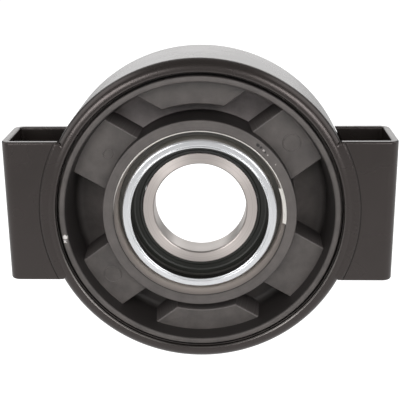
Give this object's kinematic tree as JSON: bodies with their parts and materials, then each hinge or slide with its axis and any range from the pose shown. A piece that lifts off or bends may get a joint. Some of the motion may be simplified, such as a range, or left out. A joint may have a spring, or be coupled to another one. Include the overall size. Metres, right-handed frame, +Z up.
{
  "type": "driveshaft centre bearing",
  "caption": "Sealed ball bearing in a rubber cushion and a round black steel housing with two channel ears; carries the middle of a two-piece driveshaft.",
  "frame": {"origin": "middle of the shaft's bore", "axes": "+Z up, +Y along the shaft from the front to the rear, +X to the right ear seen from the front"},
  "size_m": [0.2472, 0.0581, 0.1992],
  "materials": {
    "black_paint": "satin",
    "cushion_rubber": "matte",
    "coated_sleeve": "satin",
    "plated_shield": "polished",
    "bearing_steel": "ground",
    "ground_steel": "turned",
    "seal_rubber": "satin",
    "cage_steel": "pressed",
    "ball_steel": "polished"
  },
  "bodies": {
    "housing": {"housing_ring": "black_paint", "left_ear": "black_paint", "right_ear": "black_paint", "left_front_weld": "black_paint", "left_rear_weld": "black_paint", "right_front_weld": "black_paint", "right_rear_weld": "black_paint", "rubber_cushion": "cushion_rubber", "inner_sleeve": "coated_sleeve", "front_dust_shield": "plated_shield", "rear_dust_shield": "plated_shield", "bearing_outer_ring": "bearing_steel", "front_seal": "seal_rubber", "rear_seal": "seal_rubber"},
    "inner_ring": {"bearing_inner_ring": "ground_steel"},
    "cage": {"cage_front": "cage_steel", "cage_rear": "cage_steel", "cage_rivets": "cage_steel"},
    "ball_01": {"ball_01": "ball_steel"},
    "ball_02": {"ball_02": "ball_steel"},
    "ball_03": {"ball_03": "ball_steel"},
    "ball_04": {"ball_04": "ball_steel"},
    "ball_05": {"ball_05": "ball_steel"},
    "ball_06": {"ball_06": "ball_steel"},
    "ball_07": {"ball_07": "ball_steel"},
    "ball_08": {"ball_08": "ball_steel"},
    "ball_09": {"ball_09": "ball_steel"},
    "ball_10": {"ball_10": "ball_steel"},
    "ball_11": {"ball_11": "ball_steel"},
    "ball_12": {"ball_12": "ball_steel"}
  },
  "joints": [
    {"name": "shaft_spin", "type": "hinge", "parent": "housing", "child": "inner_ring", "pos_m": [0, 0, 0], "axis": [0, 1, 0], "continuous": true},
    {"name": "cage_orbit", "type": "hinge", "parent": "housing", "child": "cage", "pos_m": [0, 0, 0], "axis": [0, 1, 0], "continuous": true},
    {"name": "ball_01_spin", "type": "hinge", "parent": "cage", "child": "ball_01", "pos_m": [0.04125, 0, 0], "axis": [0, 1, 0], "continuous": true},
    {"name": "ball_02_spin", "type": "hinge", "parent": "cage", "child": "ball_02", "pos_m": [0.03572, 0, -0.02063], "axis": [0, 1, 0], "continuous": true},
    {"name": "ball_03_spin", "type": "hinge", "parent": "cage", "child": "ball_03", "pos_m": [0.02063, 0, -0.03572], "axis": [0, 1, 0], "continuous": true},
    {"name": "ball_04_spin", "type": "hinge", "parent": "cage", "child": "ball_04", "pos_m": [0, 0, -0.04125], "axis": [0, 1, 0], "continuous": true},
    {"name": "ball_05_spin", "type": "hinge", "parent": "cage", "child": "ball_05", "pos_m": [-0.02063, 0, -0.03572], "axis": [0, 1, 0], "continuous": true},
    {"name": "ball_06_spin", "type": "hinge", "parent": "cage", "child": "ball_06", "pos_m": [-0.03572, 0, -0.02063], "axis": [0, 1, 0], "continuous": true},
    {"name": "ball_07_spin", "type": "hinge", "parent": "cage", "child": "ball_07", "pos_m": [-0.04125, 0, 0], "axis": [0, 1, 0], "continuous": true},
    {"name": "ball_08_spin", "type": "hinge", "parent": "cage", "child": "ball_08", "pos_m": [-0.03572, 0, 0.02063], "axis": [0, 1, 0], "continuous": true},
    {"name": "ball_09_spin", "type": "hinge", "parent": "cage", "child": "ball_09", "pos_m": [-0.02063, 0, 0.03572], "axis": [0, 1, 0], "continuous": true},
    {"name": "ball_10_spin", "type": "hinge", "parent": "cage", "child": "ball_10", "pos_m": [0, 0, 0.04125], "axis": [0, 1, 0], "continuous": true},
    {"name": "ball_11_spin", "type": "hinge", "parent": "cage", "child": "ball_11", "pos_m": [0.02063, 0, 0.03572], "axis": [0, 1, 0], "continuous": true},
    {"name": "ball_12_spin", "type": "hinge", "parent": "cage", "child": "ball_12", "pos_m": [0.03572, 0, 0.02063], "axis": [0, 1, 0], "continuous": true}
  ],
  "couplings": [
    {"joint": "cage_orbit", "follows": "shaft_spin", "ratio": 0.42727},
    {"joint": "ball_01_spin", "follows": "shaft_spin", "ratio": -3.3648},
    {"joint": "ball_02_spin", "follows": "shaft_spin", "ratio": -3.3648},
    {"joint": "ball_03_spin", "follows": "shaft_spin", "ratio": -3.3648},
    {"joint": "ball_04_spin", "follows": "shaft_spin", "ratio": -3.3648},
    {"joint": "ball_05_spin", "follows": "shaft_spin", "ratio": -3.3648},
    {"joint": "ball_06_spin", "follows": "shaft_spin", "ratio": -3.3648},
    {"joint": "ball_07_spin", "follows": "shaft_spin", "ratio": -3.3648},
    {"joint": "ball_08_spin", "follows": "shaft_spin", "ratio": -3.3648},
    {"joint": "ball_09_spin", "follows": "shaft_spin", "ratio": -3.3648},
    {"joint": "ball_10_spin", "follows": "shaft_spin", "ratio": -3.3648},
    {"joint": "ball_11_spin", "follows": "shaft_spin", "ratio": -3.3648},
    {"joint": "ball_12_spin", "follows": "shaft_spin", "ratio": -3.3648}
  ]
}
